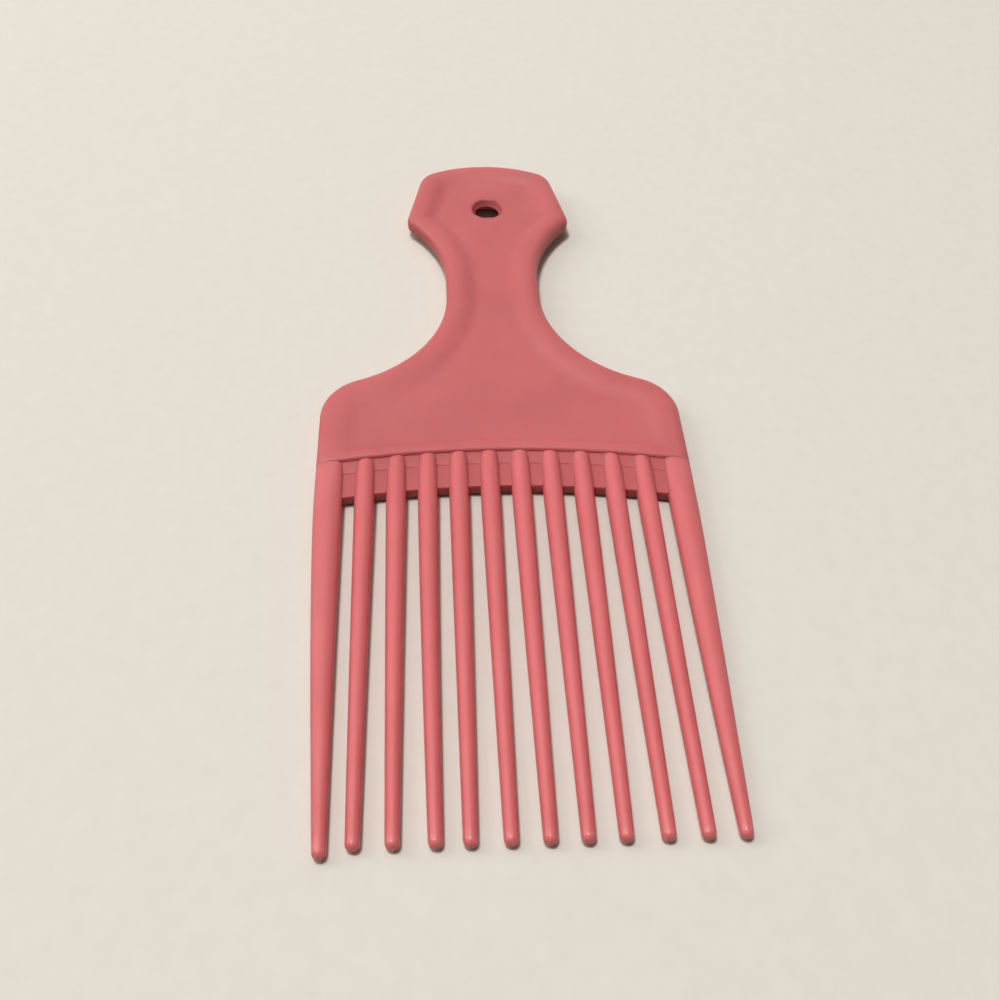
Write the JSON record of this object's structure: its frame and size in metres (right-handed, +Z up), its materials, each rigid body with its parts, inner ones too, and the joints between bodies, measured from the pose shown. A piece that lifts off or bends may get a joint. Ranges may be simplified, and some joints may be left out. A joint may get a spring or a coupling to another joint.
{
  "type": "afro pick",
  "caption": "Flat moulded plastic hair pick: a waisted handle with a hang hole and dished faces, and long tapered teeth between two wider guard teeth.",
  "frame": {"origin": "on the resting surface, below the middle of the pick as it lies flat", "axes": "+Z up through the pick's thickness, +X across the teeth, +Y from the tooth tips to the handle"},
  "size_m": [0.0678, 0.165, 0.0044],
  "materials": {
    "pink_plastic": "satin moulded polypropylene, coloured through"
  },
  "bodies": {
    "root": {"handle_plate": "pink_plastic", "guard_tooth_left": "pink_plastic", "tooth_01": "pink_plastic", "tooth_02": "pink_plastic", "tooth_03": "pink_plastic", "tooth_04": "pink_plastic", "tooth_05": "pink_plastic", "tooth_06": "pink_plastic", "tooth_07": "pink_plastic", "tooth_08": "pink_plastic", "tooth_09": "pink_plastic", "tooth_10": "pink_plastic", "guard_tooth_right": "pink_plastic", "web_01": "pink_plastic", "web_02": "pink_plastic", "web_03": "pink_plastic", "web_04": "pink_plastic", "web_05": "pink_plastic", "web_06": "pink_plastic", "web_07": "pink_plastic", "web_08": "pink_plastic", "web_09": "pink_plastic", "web_10": "pink_plastic", "web_11": "pink_plastic"}
  },
  "joints": []
}
